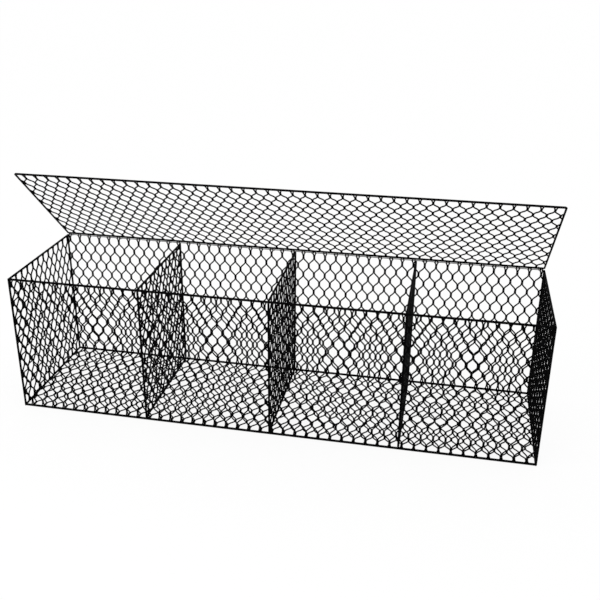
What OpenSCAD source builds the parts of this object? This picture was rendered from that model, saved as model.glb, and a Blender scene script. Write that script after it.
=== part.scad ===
// Gabion basket of woven wire: four open cells side by side, with a hinged mesh lid.
// X runs along the wall, Y from the front to the back, Z up from the underside.
// The origin is under the middle of the front bottom edge wire. All lengths are in mm.

/* [Basket] */
// Length of the basket between the edge wires of its two ends
length = 4000; // [3600:10:4600]
// Depth of the basket between its front and back edge wires
depth = 1030; // [700:10:1300]
// Height of the basket between its bottom and top edge wires
height = 1104; // [500:1:1300]
// Length of the first cell, from the left end to the first diaphragm
first_cell = 1030; // [700:5:1100]
// Length of the second cell
second_cell = 995; // [700:5:1100]
// Length of the third cell
third_cell = 985; // [700:5:1100]

/* [Wire mesh] */
// Distance from one twist to the next in a row
twist_pitch = 110; // [80:1:125]
// Distance from one row of twists to the next
row_pitch = 92; // [75:1:110]
// Length of a twist
twist_length = 43; // [25:1:50]
// Width of a twist, where two wires run wound round each other
twist_width = 13; // [8:0.5:16]
// Thickness of a single mesh wire
wire = 8; // [3:0.5:9]
// Sideways reach of each leg where a twist opens out to meet an edge wire
leg_reach = 16; // [8:1:18]

/* [Edge wires] */
// Thickness of the edge wires that the mesh is wound on
edge_wire = 8; // [6:0.5:16]

/* [Lid] */
// Angle of the raised lid above the closed lid
lid_angle = 44; // [0:0.1:270]
// Gap between the closed lid and the rim, and between the lid hung open and the back
lid_gap = 7; // [5:0.5:20]
// Gap between the levels of the back top wire and of the lid's hinge wire above it
hinge_gap = 0.5; // [0.3:0.1:4]

/* [Lid rings] */
// Thickness of the rings that hold the lid to the back edge wire
ring_wire = 4; // [2:0.5:5]
// Play between a ring and the two wires inside it
ring_play = 0.4; // [0.2:0.1:0.9]
// Twists from one lid ring to the next
ring_step = 4; // [2:1:8]

/* [Hidden] */
edge_r = edge_wire / 2;
// Sides of the plain edge wires
rod_sides = 8;
// Margins that keep the outermost twists and their legs clear of the edge wires
side_margin = edge_r + twist_width;
end_margin = edge_r + twist_length / 2 + leg_reach;
// Openings with less area than this are left closed
least_opening = wire * wire / 4;
// Overshoot of the cutting shapes past the outline of a sheet
over = 1;
bottom_z = edge_r;
top_z = bottom_z + height;
left_x = -length / 2;
// Places along the basket of its two ends and the diaphragms between them
cell_ends = [
    0,
    first_cell,
    first_cell + second_cell,
    first_cell + second_cell + third_cell,
    length
];
cells = len(cell_ends) - 1;
// The lid's hinge wire lies this far behind the back and above the rim, so that the lid
// closes level over the rim and hangs open behind the back
hinge_offset = edge_wire + lid_gap;
hinge_y = depth + hinge_offset;
hinge_z = top_z + hinge_offset;
// The back reaches up to just under the level of the hinge wire
back_height = height + lid_gap - hinge_gap;
back_top_z = bottom_z + back_height;
// The closed lid reaches from there to over the front top wire
lid_width = hinge_y;
// A ring lies round both wires at the hinge
wire_distance = norm([hinge_y - depth, hinge_z - back_top_z]);
ring_radius = wire_distance / 2 + edge_r + ring_play + ring_wire / 2;
wire_color = "#202124";

function numbered(name, count) = [for (k = [1:count]) str(name, "_", k)];

// How many pitches fit in a span, and where the first one starts so that they are centred
function pitches(span, pitch, margin) = floor((span - 2 * margin) / pitch);
function first_at(span, pitch, margin) = (span - pitch * pitches(span, pitch, margin)) / 2;

// Slope of the single wires between two rows of twists
half_pitch = twist_pitch / 2;
rise = row_pitch - twist_length;
slant = sqrt(half_pitch * half_pitch + rise * rise);
// Half the width and the corner heights of one six-sided opening
open_half = half_pitch - twist_width / 2;
open_tip = row_pitch - twist_length / 2 - wire / 2 * slant / half_pitch;
open_side = open_tip - rise / half_pitch * open_half;

// Upper right outline of an opening: from its tip to its side, or from the edge wire along
// the leg of the twist beside it, where the mesh has that twist
tip_side = [[0, open_tip], [open_half, open_side]];
function edge_side(edge, legged) = [
    [legged ? half_pitch - leg_reach - wire / 2 : open_half, edge],
    [open_half, twist_length / 2]
];
function flip_y(points) = [for (k = [len(points) - 1:-1:0]) [points[k][0], -points[k][1]]];
function flip_x(points) = [for (k = [len(points) - 1:-1:0]) [-points[k][0], points[k][1]]];

// Right-hand outline of an opening. In the outer rows the opening ends at the edge wire.
function opening_side(row, rows, edge, legged) =
    let (
        upper = row == rows ? edge_side(edge, legged) : tip_side,
        lower = row == 0 ? edge_side(edge, legged) : tip_side
    )
    concat(upper, flip_y(lower));

// One opening of the mesh, round its own centre, this far from the left and right ends
function opening(row, rows, edge, left, right) = concat(
    opening_side(row, rows, edge, right >= half_pitch),
    flip_x(opening_side(row, rows, edge, left >= half_pitch))
);

// The small opening between the two legs of a twist at the edge wire
function leg_opening(edge, side) = [
    [0, side * (twist_length / 2 + wire)],
    [leg_reach - wire / 2, side * edge],
    [wire / 2 - leg_reach, side * edge]
];

function moved(points, at) = [for (p = points) p + at];

// Convex outline cut off where its coordinate on one axis passes a limit
function cut(points, axis, way, limit) = [
    for (k = [0:len(points) - 1])
        let (
            p = points[k],
            q = points[(k + 1) % len(points)],
            dp = way * (limit - p[axis]),
            dq = way * (limit - q[axis])
        )
        each concat(dp >= 0 ? [p] : [], dp * dq < 0 ? [p + (q - p) * dp / (dp - dq)] : [])
];
function cut_or_none(points, axis, way, limit) =
    len(points) < 3 ? [] : cut(points, axis, way, limit);
function clipped(points, low, high) =
    cut_or_none(cut_or_none(cut_or_none(cut_or_none(
        points, 0, 1, high[0]), 0, -1, low[0]), 1, 1, high[1]), 1, -1, low[1]);
function sum(values, k = 0) = k == len(values) ? 0 : values[k] + sum(values, k + 1);
function area(points) = len(points) < 3 ? 0 : abs(sum([
    for (k = [0:len(points) - 1])
        let (p = points[k], q = points[(k + 1) % len(points)])
        p[0] * q[1] - q[0] * p[1]
])) / 2;

// Every opening of a mesh of the given full size, as outlines
function mesh_openings(span, tall) =
    let (
        columns = pitches(span, twist_pitch, side_margin),
        rows = pitches(tall, row_pitch, end_margin),
        u0 = first_at(span, twist_pitch, side_margin),
        v0 = first_at(tall, row_pitch, end_margin)
    )
    concat(
        [for (row = [0:rows]) for (k = [-1:columns])
            let (u = u0 + k * twist_pitch + (row % 2 == 0 ? 0 : half_pitch))
            moved(opening(row, rows, v0 + over, u, span - u), [u, v0 + row * row_pitch])],
        [for (row = [0, rows]) for (k = [0:columns])
            let (u = u0 + k * twist_pitch + (row % 2 == 0 ? half_pitch : 0))
            moved(leg_opening(v0 + over, row == 0 ? -1 : 1), [u, v0 + row * row_pitch])]
    );

// Flat sheet of mesh in the XY plane: the part low to high of a mesh of the given full size.
// Its openings end at a rim of the given width, or run out of its edges where there is none.
module mesh_sheet(span, tall, low, high, rim = 0) {
    inset = rim > 0 ? [rim, rim] : [-over, -over];
    linear_extrude(wire, center = true)
        difference() {
            translate(low)
                square(high - low);
            for (points = mesh_openings(span, tall)) {
                shape = clipped(points, low + inset, high - inset);
                if (area(shape) > least_opening)
                    polygon(shape);
            }
        }
}

// Wire along X with a flat to every side that a panel meets
module edge_rod(span) {
    turn = 180 / rod_sides;
    rotate([90, 0, 90])
        rotate(turn)
            cylinder(d = edge_wire / cos(turn), h = span, $fn = rod_sides);
}

// Panel in the YZ plane with its own rim, between the centre lines of the rim
module framed_panel(low, high) {
    reach = [edge_r, edge_r];
    rotate([90, 0, 90])
        mesh_sheet(depth, height, low - reach, high + reach, edge_wire);
}

// Where a long mesh is split beside a diaphragm: midway between two columns of twists
function mesh_split(number) =
    let (first = first_at(length, twist_pitch, side_margin) + half_pitch / 2)
    first + half_pitch * round((cell_ends[number] - first) / half_pitch);

// One cell's length of a sheet that runs along X, cut short at the ends of the basket
module cell_sheet(cell, tall, end_cut) {
    from = cell == 0 ? end_cut : mesh_split(cell);
    to = cell == cells - 1 ? length - end_cut : mesh_split(cell + 1);
    mesh_sheet(length, tall, [from, edge_r], [to, tall - edge_r]);
}

module base_mesh(cell) {
    color(wire_color)
        translate([left_x, 0, wire / 2])
            cell_sheet(cell, depth, wire / 2);
}

module upright_mesh(cell, y, tall) {
    color(wire_color)
        translate([left_x, y, bottom_z])
            rotate([90, 0, 0])
                cell_sheet(cell, tall, wire / 2);
}

module end_panel(x) {
    color(wire_color)
        translate([x, 0, bottom_z])
            framed_panel([0, 0], [depth, height]);
}

// A diaphragm stands on the base mesh, between the front and back edge wires
module diaphragm(number) {
    color(wire_color)
        translate([left_x + cell_ends[number], 0, bottom_z])
            framed_panel([edge_wire, wire], [depth - edge_wire, height]);
}

module long_wire(y, z) {
    color(wire_color)
        translate([left_x + wire / 2, y, z])
            edge_rod(length - wire);
}

// The two wires inside the lid's rings are round
module round_rod(span) {
    rotate([0, 90, 0])
        cylinder(d = edge_wire, h = span, $fn = 64);
}

module back_top_wire() {
    color(wire_color)
        translate([left_x + wire / 2, depth, back_top_z])
            round_rod(length - wire);
}

// Places what is drawn flat, with the hinge along X, at the raised lid's angle
module on_lid() {
    color(wire_color)
        translate([left_x, hinge_y, hinge_z])
            rotate([180 - lid_angle, 0, 0])
                children();
}

module lid_mesh(cell) {
    on_lid()
        cell_sheet(cell, lid_width, edge_r);
}

// The lid turns on this wire
module lid_hinge_wire() {
    on_lid()
        translate([edge_r, 0, 0])
            round_rod(length - edge_wire);
}

module lid_front_wire() {
    on_lid()
        translate([edge_r, lid_width, 0])
            edge_rod(length - edge_wire);
}

module lid_side_wire(u) {
    on_lid()
        translate([u, -edge_r, 0])
            rotate(90)
                edge_rod(lid_width + edge_wire);
}

// Rings round the lid's hinge wire and the back top wire, midway between their mesh legs
module lid_rings() {
    step = ring_step * twist_pitch;
    start = first_at(length, twist_pitch, side_margin) + half_pitch / 2;
    color(wire_color)
        translate([left_x, (depth + hinge_y) / 2, (back_top_z + hinge_z) / 2])
            for (u = [start:step:length / 2 - ring_wire])
                for (x = [u, length - u])
                    translate([x, 0, 0])
                        rotate([0, 90, 0])
                            rotate_extrude($fn = 48)
                                translate([ring_radius, 0])
                                    circle(d = ring_wire, $fn = 24);
}

for (k = [1:cells]) {
    base_mesh(k - 1);
    upright_mesh(k - 1, 0, height);
    upright_mesh(k - 1, depth, back_height);
    lid_mesh(k - 1);
}
for (k = [1:cells - 1])
    diaphragm(k);
end_panel(left_x);  // left_end_panel
end_panel(left_x + length);  // right_end_panel
long_wire(0, top_z);  // front_top_wire
long_wire(0, bottom_z);  // front_bottom_wire
long_wire(depth, bottom_z);  // back_bottom_wire
back_top_wire();
lid_hinge_wire();
lid_front_wire();
lid_side_wire(0);  // lid_left_wire
lid_side_wire(length);  // lid_right_wire
lid_rings();
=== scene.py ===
import math

import bpy
import numpy as np
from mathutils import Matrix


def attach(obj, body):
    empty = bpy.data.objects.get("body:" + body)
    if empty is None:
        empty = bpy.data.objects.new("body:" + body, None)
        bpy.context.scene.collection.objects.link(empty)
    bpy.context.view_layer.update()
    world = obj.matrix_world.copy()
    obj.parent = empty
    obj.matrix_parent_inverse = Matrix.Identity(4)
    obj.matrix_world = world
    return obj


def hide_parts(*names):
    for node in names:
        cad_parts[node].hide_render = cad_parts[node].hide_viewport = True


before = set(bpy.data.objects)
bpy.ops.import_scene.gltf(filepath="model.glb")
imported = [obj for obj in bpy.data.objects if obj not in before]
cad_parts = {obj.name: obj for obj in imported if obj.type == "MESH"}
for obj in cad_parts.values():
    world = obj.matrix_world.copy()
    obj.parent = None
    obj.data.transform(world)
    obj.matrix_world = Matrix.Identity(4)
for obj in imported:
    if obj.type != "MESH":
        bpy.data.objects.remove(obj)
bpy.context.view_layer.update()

X = np.array([1.0, 0.0, 0.0])
Y = np.array([0.0, 1.0, 0.0])
Z = np.array([0.0, 0.0, 1.0])
# A direction that no wire runs along
ASKEW = X + 0.3 * Y + 0.1 * Z

# Sizes in metres, in the part's own frame: X along the basket, Y from the front to the back, Z up
LENGTH = 4.0
DEPTH = 1.03
LEFT = -LENGTH / 2
RIGHT = LENGTH / 2
# Where each cell ends, from the left end of the basket
CELL_ENDS = [1.03, 2.025, 3.01, LENGTH]
# Heights of the base mesh, the rim and the back top wire, at the middle of their wires
BOTTOM_Z = 0.008
TOP_Z = 1.108
BACK_TOP_Z = 1.1145
WALL_TALL = TOP_Z - BOTTOM_Z
BACK_TALL = BACK_TOP_Z - BOTTOM_Z

# The lid turns on its own hinge wire, this far behind the back and above the rim
HINGE_OFFSET = 0.015
LID_HINGE = np.array([LEFT, DEPTH + HINGE_OFFSET, TOP_Z + HINGE_OFFSET])
# Its front wire overhangs the front a little, so that the closed lid clears the thick wires of the rim
LID_OVERHANG = 0.0078
LID_WIDTH = DEPTH + HINGE_OFFSET + LID_OVERHANG
LID_ANGLE = math.radians(44)
LID_WAY = np.array([0.0, -math.cos(LID_ANGLE), math.sin(LID_ANGLE)])

# The double-twist mesh: from twist to twist in a row, and from the end of a panel to the first twist
PITCH = 0.09
FIRST_TWIST = 0.02
# Rows of twists on the base and the lid, and on the walls
FLAT_ROWS = 13
WALL_ROWS = 14
# From the edge wires to the first and the last row of twists
BASE_MARGINS = (0.042, 0.037)
FRONT_MARGINS = (0.0425, 0.0415)
BACK_MARGINS = (0.05, 0.04)
CROSS_MARGINS = (0.042, 0.038)
LID_MARGINS = (0.036, 0.0563)

# Radii of the mesh wires, which are as thick on each panel as the picture draws them
WIRE_R = 0.0054
HEAVY_WIRE_R = 0.006
DIAPHRAGM_WIRE_R = 0.0057
LIGHT_WIRE_R = 0.0048
MESH_SIDES = 5
TWIST = 0.039
# A twist is wider than it is deep, so that the lid lies flat over the rim and behind the back
HELIX_R = 0.0055
HALF_DEPTH = 0.0074
HALF_TURNS = 3
HELIX_POINTS = 8
# How far a wire runs on in line with its twist before it bends away, as a share of the rise to its end
SHOULDER = 0.22
# Points along that bend, as shares of it
BEND_STEPS = np.array([[0.3], [0.65]])
# How far a wire runs on past its meeting with the next twist's wire, as a share of the way there
MEETING_LAP = 0.02
# Reach of the legs of a twist at an edge wire, and of a leg beside a corner
LEGS = {"leg": 0.014, "corner": 0.0072}
# Share of that reach by which a leg turns back in as it winds round the edge wire
LEG_TURN_IN = 0.6
WRAP_TURN = np.radians([0, 60, 120, 180, 240, 300])
# How far a mesh wire wound on a plain edge wire stands out of it
WRAP_PROUD = 0.0002

# Radii of the edge wires, also as the picture draws them, from the plain one at the ends of the lid on
EDGE_R = 0.0072
CROSS_R = 0.0082
BOTTOM_R = 0.009
FRONT_TOP_R = 0.0088
LID_FRONT_R = 0.008
HINGE_R = 0.0082
# The back top wire is thin and ends inside the end panels, because the closed lid lies just over it
BACK_TOP_R = 0.003
BACK_TOP_INSET = 0.0075
EDGE_SIDES = 14
# The bottom wires lie this far above the floor
FLOOR_GAP = 0.0002
BOTTOM_ROD_Z = BOTTOM_R + FLOOR_GAP
# The rounded end of a rod: places along it and the width there, as shares of its radius
END_PLACES = np.array([0.0, 0.12, 0.45, 1.0])
END_WIDTHS = np.array([0.05, 0.5, 0.85, 1.0])
# Where the straight sides of a rim end short of a corner, in radii of its wire
CORNER_REACH = 1.5
# An end panel's rim is set in until its outside is flush with a plain edge wire
RIM_INSET = CROSS_R - EDGE_R
# A diaphragm's rim lies inside the front, back and bottom wires
DIAPHRAGM_INSET = 0.0155
DIAPHRAGM_LIFT = 0.0085

# Rings of the hinge, set out from both ends, between the legs of the meshes
RING_WIRE_R = 0.0015
RING_PLAY = 0.0002
RING_SIDES = 8
RING_PAIRS = 5
RING_STEP = 5 * PITCH
FIRST_RING = FIRST_TWIST + PITCH / 4
# A ring's wire goes a little more than once round, and its ends lie this far apart, side by side
RING_TURN = np.radians(np.linspace(-20, 385, 34))
RING_LAP = 0.0032

# Colours of the coated wire, where it is darkest and palest
BLACK = (0.0008, 0.0008, 0.0009)
WORN_BLACK = (0.0035, 0.0035, 0.0038)
RING_BLACK = (0.004, 0.004, 0.0045)
RING_GREY = (0.014, 0.014, 0.015)

FLOOR_REACH = 150
# Share of the floor's look that is plain white to the camera; the rest takes the shadow
FLOOR_GLOW = 0.9


def unit(vector):
    return vector / np.linalg.norm(vector)


def skin(rings, closed=False):
    """Vertices, quads and end caps over rings of vertices that all have the same number of sides."""
    count, sides = len(rings), len(rings[0])
    steps = np.arange(count if closed else count - 1)[:, None]
    here = np.arange(sides)
    beside = (here + 1) % sides
    ring = steps * sides
    next_ring = (steps + 1) % count * sides
    quads = np.stack([ring + here, ring + beside, next_ring + beside, next_ring + here], -1)
    caps = [] if closed else [here[::-1], here + (count - 1) * sides]
    return np.vstack(rings), quads.reshape(-1, 4), caps


def tube(path, radii, sides):
    """A tube along path, with one radius or one for each point."""
    path = np.asarray(path, float)
    radii = np.broadcast_to(np.asarray(radii, float), len(path))
    tangents = np.gradient(path, axis=0)
    tangents /= np.linalg.norm(tangents, axis=1)[:, None]
    side = np.cross(tangents[0], ASKEW)
    angles = np.arange(sides)[:, None] * 2 * math.pi / sides
    rings = []
    for point, tangent, radius in zip(path, tangents, radii):
        side = unit(side - tangent * (side @ tangent))
        other = np.cross(tangent, side)
        rings.append(point + radius * (np.cos(angles) * side + np.sin(angles) * other))
    return skin(rings)


def rod(start, end, radius):
    """A straight wire with rounded ends."""
    start, end = np.asarray(start, float), np.asarray(end, float)
    way = unit(end - start)
    inset = radius * END_PLACES
    path = [start + way * d for d in inset] + [end - way * d for d in inset[::-1]]
    return tube(path, radius * np.concatenate([END_WIDTHS, END_WIDTHS[::-1]]), EDGE_SIDES)


def loop(origin, across, along, span, tall, radius):
    """A rectangle of wire with square corners, in one plane."""
    normal = np.cross(across, along)
    corners = [(0, 0), (span, 0), (span, tall), (0, tall)]
    travel = [across, along, -across, -along]
    outward = [-along, across, along, -across]
    reach = CORNER_REACH * radius
    angles = np.arange(EDGE_SIDES)[:, None] * 2 * math.pi / EDGE_SIDES
    rings = []
    for k, (u, v) in enumerate(corners):
        corner = origin + across * u + along * v
        before, after = outward[k - 1], outward[k]
        for place, out in [
            (corner - travel[k - 1] * reach, before),
            (corner, before + after),
            (corner + travel[k] * reach, after),
        ]:
            rings.append(place + radius * (np.cos(angles) * out - np.sin(angles) * normal))
    return skin(rings, closed=True)


def twist_end(kind, side, way, row_pitch, margin, wire_r):
    """Points of one wire from a twist outwards: to the next twist, or round an edge wire ahead or beside."""
    sign = -way * side
    entry = np.array([sign * HELIX_R, way * TWIST / 2, 0.0])
    middle = np.array([sign * PITCH / 4, way * row_pitch / 2, 0.0])
    wrap_r = EDGE_R - wire_r + WRAP_PROUD
    ahead = wrap_r * np.cos(WRAP_TURN)
    round_edge = sign * wrap_r * np.sin(WRAP_TURN)
    if kind in LEGS:
        turn_in = 1 - LEG_TURN_IN * WRAP_TURN / WRAP_TURN[-1]
        last = np.stack([sign * LEGS[kind] * turn_in, way * (margin - ahead), round_edge], 1)
    elif kind == "side":
        reach = (FIRST_TWIST - HELIX_R) / (PITCH / 4 - HELIX_R)
        foot = entry + reach * (middle - entry)
        drift = WRAP_TURN / (2 * math.pi) * 2 * wire_r
        last = np.stack([sign * (FIRST_TWIST - ahead), foot[1] + way * drift, round_edge], 1)
    else:
        last = (middle + MEETING_LAP * (middle - entry))[None]
    shoulder = entry + [0, SHOULDER * (last[0][1] - entry[1]), 0]
    t = BEND_STEPS
    bend = (1 - t) ** 2 * entry + 2 * t * (1 - t) * shoulder + t ** 2 * last[0]
    return np.vstack([bend, last])


def strand(side, low, high, row_pitch, margins, wire_r):
    """One of the two wires of a twist, wound three half turns, with its ends below and above."""
    t = np.linspace(0, 1, HELIX_POINTS)
    turn = HALF_TURNS * math.pi * t
    depth = HALF_DEPTH - wire_r
    helix = np.stack([side * HELIX_R * np.cos(turn), (t - 0.5) * TWIST, side * depth * np.sin(turn)], 1)
    below = twist_end(low, side, -1, row_pitch, margins[0], wire_r)[::-1]
    above = twist_end(high, side, 1, row_pitch, margins[1], wire_r)
    return np.vstack([below, helix, above])


def end_kind(outer_row, outer_column):
    """Where a wire goes from a twist: outer rows and columns end at an edge wire."""
    if outer_row:
        return "corner" if outer_column else "leg"
    return "side" if outer_column else "next"


def woven(origin, across, along, span, tall, rows, margins, wire_r):
    """A panel of double-twist mesh: the place along the panel and the tube of each wire of each twist."""
    row_pitch = (tall - sum(margins)) / (rows - 1)
    columns = round((span - 2 * FIRST_TWIST) / PITCH)
    axes = np.stack([across, along, np.cross(across, along)])
    tubes = {}
    for row in range(rows):
        shifted = row % 2 == 0
        for column in range(columns if shifted else columns + 1):
            u = FIRST_TWIST + PITCH * (column + 0.5 * shifted)
            v = margins[0] + row_pitch * row
            place = origin + across * u + along * v
            for side in (1, -1):
                # A wire on the right below the twist is on its left above it
                edge_below = not shifted and column == (columns if side > 0 else 0)
                edge_above = not shifted and column == (0 if side > 0 else columns)
                low = end_kind(row == 0, edge_below)
                high = end_kind(row == rows - 1, edge_above)
                key = side, low, high
                if key not in tubes:
                    path = strand(side, low, high, row_pitch, margins, wire_r)
                    tubes[key] = tube(path, wire_r, MESH_SIDES)
                points, quads, caps = tubes[key]
                yield u, (place + points @ axes, quads, caps)


def piece(name, parts, body, slot, *nodes):
    """One mesh from many tubes, riding on a body of the part in place of its solids."""
    vertices, faces, count = [], [], 0
    for points, quads, caps in parts:
        vertices.append(points)
        faces += (quads + count).tolist()
        faces += [(cap + count).tolist() for cap in caps]
        count += len(points)
    mesh = bpy.data.meshes.new(name)
    mesh.from_pydata(np.vstack(vertices).tolist(), [], faces)
    mesh.shade_smooth()
    mesh.materials.append(MATERIALS[slot])
    made = bpy.data.objects.new(name, mesh)
    bpy.context.scene.collection.objects.link(made)
    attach(made, body)
    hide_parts(*nodes)


def wire_material(name, dark, pale, rough, spot, specular):
    """Coated wire: a slightly uneven black, with a dull sheen that changes along it and a fine grain."""
    material = bpy.data.materials.new(name)
    material.use_nodes = True
    nodes, links = material.node_tree.nodes, material.node_tree.links
    shader = nodes["Principled BSDF"]
    shader.inputs["Specular IOR Level"].default_value = specular
    place = nodes.new("ShaderNodeTexCoord")

    def noise(scale, detail):
        texture = nodes.new("ShaderNodeTexNoise")
        texture.inputs["Scale"].default_value = scale
        texture.inputs["Detail"].default_value = detail
        links.new(place.outputs["Object"], texture.inputs["Vector"])
        return texture.outputs["Fac"]

    ramp = nodes.new("ShaderNodeValToRGB")
    ramp.color_ramp.elements[0].position = 0.35
    ramp.color_ramp.elements[0].color = (*dark, 1)
    ramp.color_ramp.elements[1].position = 0.7
    ramp.color_ramp.elements[1].color = (*pale, 1)
    links.new(noise(scale=spot, detail=5), ramp.inputs["Fac"])
    links.new(ramp.outputs["Color"], shader.inputs["Base Color"])

    sheen = nodes.new("ShaderNodeMapRange")
    sheen.inputs["From Min"].default_value = 0.3
    sheen.inputs["From Max"].default_value = 0.7
    sheen.inputs["To Min"].default_value = rough[0]
    sheen.inputs["To Max"].default_value = rough[1]
    links.new(noise(scale=0.4 * spot, detail=3), sheen.inputs["Value"])
    links.new(sheen.outputs["Result"], shader.inputs["Roughness"])

    grain = nodes.new("ShaderNodeBump")
    grain.inputs["Strength"].default_value = 0.25
    grain.inputs["Distance"].default_value = 0.0004
    links.new(noise(scale=700, detail=2), grain.inputs["Height"])
    links.new(grain.outputs["Normal"], shader.inputs["Normal"])
    return material


MATERIALS = {
    "mesh_wire": wire_material(
        "black coated mesh wire", BLACK, WORN_BLACK, rough=(0.45, 0.65), spot=24, specular=0.01
    ),
    "edge_wire": wire_material(
        "black coated edge wire", BLACK, WORN_BLACK, rough=(0.48, 0.68), spot=14, specular=0.01
    ),
    "ring_wire": wire_material(
        "dark coated ring wire", RING_BLACK, RING_GREY, rough=(0.35, 0.5), spot=90, specular=0.2
    ),
}

# Mesh of the base, front, back and lid, which runs the whole length, in one piece for each cell
front_foot = np.array([LEFT, 0.0, BOTTOM_Z])
back_foot = np.array([LEFT, DEPTH, BOTTOM_Z])
for node, body, origin, along, tall, rows, margins, wire_r in [
    ("base_mesh", "basket", front_foot, Y, DEPTH, FLAT_ROWS, BASE_MARGINS, WIRE_R),
    ("front_mesh", "basket", front_foot, Z, WALL_TALL, WALL_ROWS, FRONT_MARGINS, WIRE_R),
    ("back_mesh", "basket", back_foot, Z, BACK_TALL, WALL_ROWS, BACK_MARGINS, HEAVY_WIRE_R),
    ("lid_mesh", "lid", LID_HINGE, LID_WAY, LID_WIDTH, FLAT_ROWS, LID_MARGINS, WIRE_R),
]:
    bays = [[] for end in CELL_ENDS]
    for u, wire in woven(origin, X, along, LENGTH, tall, rows, margins, wire_r):
        bays[int(np.searchsorted(CELL_ENDS, u))].append(wire)
    for number, parts in enumerate(bays, 1):
        piece(f"{node}_wires_{number}", parts, body, "mesh_wire", f"{node}_{number}")

# End panels and diaphragms: each has a rim of its own round its mesh
for node, x, inset, lift, wire_r in [
    ("left_end_panel", LEFT, RIM_INSET, RIM_INSET, HEAVY_WIRE_R),
    ("diaphragm_1", LEFT + CELL_ENDS[0], DIAPHRAGM_INSET, DIAPHRAGM_LIFT, DIAPHRAGM_WIRE_R),
    ("diaphragm_2", LEFT + CELL_ENDS[1], DIAPHRAGM_INSET, DIAPHRAGM_LIFT, DIAPHRAGM_WIRE_R),
    ("diaphragm_3", LEFT + CELL_ENDS[2], DIAPHRAGM_INSET, DIAPHRAGM_LIFT, DIAPHRAGM_WIRE_R),
    ("right_end_panel", RIGHT, RIM_INSET, RIM_INSET, LIGHT_WIRE_R),
]:
    foot = np.array([x, 0.0, BOTTOM_Z])
    parts = [wire for u, wire in woven(foot, Y, Z, DEPTH, WALL_TALL, WALL_ROWS, CROSS_MARGINS, wire_r)]
    piece(f"{node}_wires", parts, "basket", "mesh_wire", node)
    rim_span = DEPTH - 2 * inset
    rim_tall = WALL_TALL - lift - RIM_INSET
    rim = loop(foot + [0, inset, lift], Y, Z, rim_span, rim_tall, CROSS_R)
    piece(f"{node}_rim", [rim], "basket", "edge_wire", node)

# Edge wires of the basket
for node, y, z, inset, radius in [
    ("front_bottom_wire", 0.0, BOTTOM_ROD_Z, 0.0, BOTTOM_R),
    ("front_top_wire", 0.0, TOP_Z, 0.0, FRONT_TOP_R),
    ("back_bottom_wire", DEPTH, BOTTOM_ROD_Z, 0.0, BOTTOM_R),
    ("back_top_wire", DEPTH, BACK_TOP_Z, BACK_TOP_INSET, BACK_TOP_R),
]:
    wire = rod((LEFT + inset, y, z), (RIGHT - inset, y, z), radius)
    piece(node.replace("wire", "rod"), [wire], "basket", "edge_wire", node)

# Edge wires of the lid
lid_front = LID_HINGE + LID_WAY * LID_WIDTH
lid_right = X * LENGTH
for node, start, end, radius in [
    ("lid_hinge_wire", LID_HINGE, LID_HINGE + lid_right, HINGE_R),
    ("lid_front_wire", lid_front, lid_front + lid_right, LID_FRONT_R),
    ("lid_left_wire", LID_HINGE, lid_front, EDGE_R),
    ("lid_right_wire", LID_HINGE + lid_right, lid_front + lid_right, EDGE_R),
]:
    piece(node.replace("wire", "rod"), [rod(start, end, radius)], "lid", "edge_wire", node)

# Rings, each closed round both wires of the hinge
hinge_axis = LID_HINGE * [0, 1, 1]
to_back = np.array([0.0, DEPTH, BACK_TOP_Z]) - hinge_axis
half_span = (np.linalg.norm(to_back) + HINGE_R + BACK_TOP_R) / 2
ring_centre = hinge_axis + unit(to_back) * (half_span - HINGE_R)
ring_r = half_span + RING_PLAY + RING_WIRE_R
lap = RING_LAP * (RING_TURN / (2 * math.pi) - 0.5)
rings = []
for k in range(RING_PAIRS):
    reach = FIRST_RING + RING_STEP * k
    for x in (LEFT + reach, RIGHT - reach):
        path = np.stack([x + lap, ring_r * np.cos(RING_TURN), ring_r * np.sin(RING_TURN)], 1)
        rings.append(tube(path + ring_centre, RING_WIRE_R, RING_SIDES))
piece("lid_ring_wires", rings, "basket", "ring_wire", "lid_rings")


def seen_rays(nodes, links):
    """1 for the rays that show a surface as it is: from the camera, a mirror or glass."""
    ray = nodes.new("ShaderNodeLightPath")
    value = ray.outputs["Is Camera Ray"]
    for kind in ("Is Glossy Ray", "Is Transmission Ray"):
        either = nodes.new("ShaderNodeMath")
        either.operation = "MAXIMUM"
        links.new(value, either.inputs[0])
        links.new(ray.outputs[kind], either.inputs[1])
        value = either.outputs["Value"]
    return value


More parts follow.
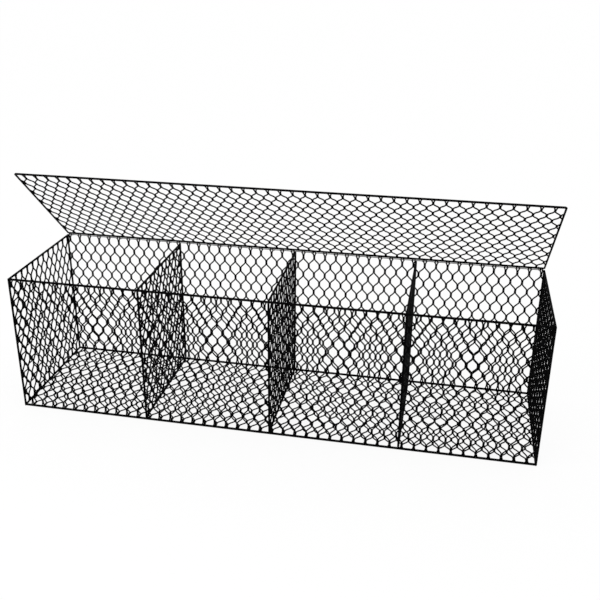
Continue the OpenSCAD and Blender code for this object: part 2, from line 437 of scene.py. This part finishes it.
def floor_material():
    """White to the camera, with a share of plain matte that takes the shadow."""
    material = bpy.data.materials.new("white floor")
    material.use_nodes = True
    nodes, links = material.node_tree.nodes, material.node_tree.links
    nodes.clear()
    output = nodes.new("ShaderNodeOutputMaterial")
    blend = nodes.new("ShaderNodeMixShader")
    matte = nodes.new("ShaderNodeBsdfDiffuse")
    matte.inputs["Color"].default_value = (0.98, 0.98, 0.98, 1)
    glow = nodes.new("ShaderNodeEmission")
    glow.inputs["Strength"].default_value = 1.0
    share = nodes.new("ShaderNodeMath")
    share.operation = "MULTIPLY"
    share.inputs[1].default_value = FLOOR_GLOW
    links.new(seen_rays(nodes, links), share.inputs[0])
    links.new(share.outputs["Value"], blend.inputs["Fac"])
    links.new(matte.outputs["BSDF"], blend.inputs[1])
    links.new(glow.outputs["Emission"], blend.inputs[2])
    links.new(blend.outputs["Shader"], output.inputs["Surface"])
    return material


# Stage: a white floor that keeps a faint shadow, white surroundings and one broad soft lamp
scene = bpy.context.scene
scene.view_settings.view_transform = "Standard"
floor_mesh = bpy.data.meshes.new("floor")
floor_corners = [(x * FLOOR_REACH, y * FLOOR_REACH, 0) for x, y in [(-1, -1), (1, -1), (1, 1), (-1, 1)]]
floor_mesh.from_pydata(floor_corners, [], [(0, 1, 2, 3)])
floor_mesh.materials.append(floor_material())
floor = bpy.data.objects.new("floor", floor_mesh)
scene.collection.objects.link(floor)

world = bpy.data.worlds.new("studio")
world.use_nodes = True
surroundings = world.node_tree.nodes["Background"]
surroundings.inputs["Color"].default_value = (1, 1, 1, 1)
surroundings.inputs["Strength"].default_value = 1.0
scene.world = world

lamp = bpy.data.lights.new("soft lamp", "AREA")
lamp.energy = 60
lamp.shape = "DISK"
lamp.size = 5
lamp_place = bpy.data.objects.new("soft lamp", lamp)
lamp_place.location = (-2.5, -3.5, 6.0)
lamp_place.rotation_euler = (math.radians(34), 0, math.radians(-32))
scene.collection.objects.link(lamp_place)

# Camera, fitted to the basket's corners and mesh in the picture
camera = bpy.data.cameras.new("camera")
camera.sensor_width = 36
camera.lens = 49.8905
camera.shift_x = 0.03023
camera.shift_y = -0.0152
camera.clip_end = 600
camera_place = bpy.data.objects.new("camera", camera)
camera_place.location = (1.2485, -5.2793, 3.5384)
camera_place.rotation_euler = (math.radians(66.6165), math.radians(-0.0352), math.radians(12.0122))
scene.collection.objects.link(camera_place)
scene.camera = camera_place
